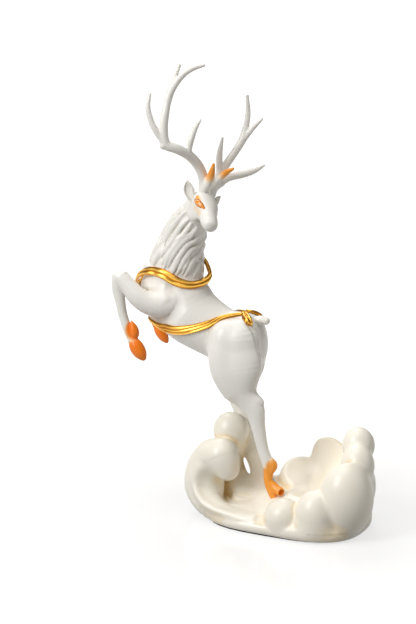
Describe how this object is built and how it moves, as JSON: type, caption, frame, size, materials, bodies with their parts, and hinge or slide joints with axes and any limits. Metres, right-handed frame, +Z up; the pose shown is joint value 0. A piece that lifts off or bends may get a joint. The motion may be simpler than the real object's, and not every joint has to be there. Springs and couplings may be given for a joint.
{
  "type": "deer statue",
  "caption": "Rearing deer ornament with plug-in antlers and gilt ribbons, standing on a cloud-shaped base with an open bowl for keys or sweets.",
  "frame": {"origin": "middle of the base on the surface it stands on", "axes": "+Z up; the deer's body faces -X, so -Y is its left side; the bowl is on the +X side"},
  "size_m": [0.2686, 0.104, 0.4333],
  "materials": {
    "lacquered_resin": "white gloss lacquer over cast resin, airbrushed orange at hooves, brow tines and eyes",
    "ivory_resin": "warm ivory gloss lacquer over cast resin",
    "gilt_metal": "bright gilding",
    "eye_resin": "clear-coated orange",
    "steel": "plain zinc plated",
    "pad_rubber": "matt"
  },
  "bodies": {
    "statue": {"cloud_base": "ivory_resin", "base_pad": "pad_rubber", "deer_body": "lacquered_resin", "deer_head": "lacquered_resin", "foreleg_left": "lacquered_resin", "foreleg_right": "lacquered_resin", "tail": "lacquered_resin", "eye_left": "eye_resin", "eye_right": "eye_resin", "neck_ribbon": "gilt_metal", "body_ribbon": "gilt_metal", "leg_rod_left": "steel", "leg_rod_right": "steel", "washer_left": "steel", "washer_right": "steel", "nut_left": "steel", "nut_right": "steel"},
    "left_antler": {"antler_left": "lacquered_resin", "antler_pin_left": "steel"},
    "right_antler": {"antler_right": "lacquered_resin", "antler_pin_right": "steel"}
  },
  "joints": [
    {"name": "left_antler_pull", "type": "slide", "parent": "statue", "child": "left_antler", "axis": [0.045, 0.5849, 0.8099], "range_m": [0, 0.03]},
    {"name": "right_antler_pull", "type": "slide", "parent": "statue", "child": "right_antler", "axis": [0.0902, -0.0902, 0.9918], "range_m": [0, 0.03]}
  ]
}
